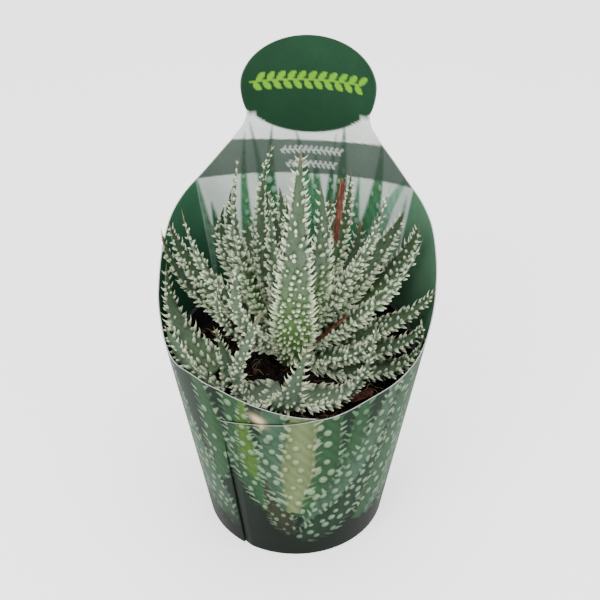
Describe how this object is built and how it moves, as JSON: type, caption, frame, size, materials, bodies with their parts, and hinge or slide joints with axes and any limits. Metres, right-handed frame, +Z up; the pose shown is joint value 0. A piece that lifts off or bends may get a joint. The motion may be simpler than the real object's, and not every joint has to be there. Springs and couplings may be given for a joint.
{
  "type": "potted aloe plant",
  "caption": "Small spiny-leaved aloe growing in a round nursery pot, wrapped in a printed card sleeve with a tall back panel and an oval header.",
  "frame": {"origin": "middle of the pot's underside, on the floor", "axes": "+Z up; -Y is the front, where the card is low and its ends cross; +Y is the card's tall back panel"},
  "size_m": [0.1344, 0.145, 0.2278],
  "materials": {
    "printed_card": "satin",
    "pot_plastic": "satin",
    "potting_soil": "matte",
    "stem_tissue": "matte",
    "leaf_skin": "satin",
    "bark": "matte"
  },
  "bodies": {
    "root": {"card_sleeve": "printed_card", "nursery_pot": "pot_plastic", "potting_soil": "potting_soil", "main_stem": "stem_tissue", "front_stem": "stem_tissue", "left_stem": "stem_tissue", "leaf_01": "leaf_skin", "leaf_02": "leaf_skin", "leaf_03": "leaf_skin", "leaf_04": "leaf_skin", "leaf_05": "leaf_skin", "leaf_06": "leaf_skin", "leaf_07": "leaf_skin", "leaf_08": "leaf_skin", "leaf_09": "leaf_skin", "leaf_10": "leaf_skin", "leaf_11": "leaf_skin", "leaf_12": "leaf_skin", "leaf_13": "leaf_skin", "leaf_14": "leaf_skin", "leaf_15": "leaf_skin", "leaf_16": "leaf_skin", "leaf_17": "leaf_skin", "leaf_18": "leaf_skin", "leaf_19": "leaf_skin", "leaf_20": "leaf_skin", "leaf_21": "leaf_skin", "leaf_22": "leaf_skin", "leaf_23": "leaf_skin", "leaf_24": "leaf_skin", "leaf_25": "leaf_skin", "leaf_26": "leaf_skin", "leaf_27": "leaf_skin", "leaf_28": "leaf_skin", "leaf_29": "leaf_skin", "leaf_30": "leaf_skin", "leaf_31": "leaf_skin", "leaf_32": "leaf_skin", "leaf_33": "leaf_skin", "leaf_34": "leaf_skin", "leaf_35": "leaf_skin", "leaf_36": "leaf_skin", "leaf_37": "leaf_skin", "leaf_38": "leaf_skin", "bark_tall": "bark", "bark_low": "bark", "bark_short": "bark", "bark_chip": "bark"}
  },
  "joints": []
}
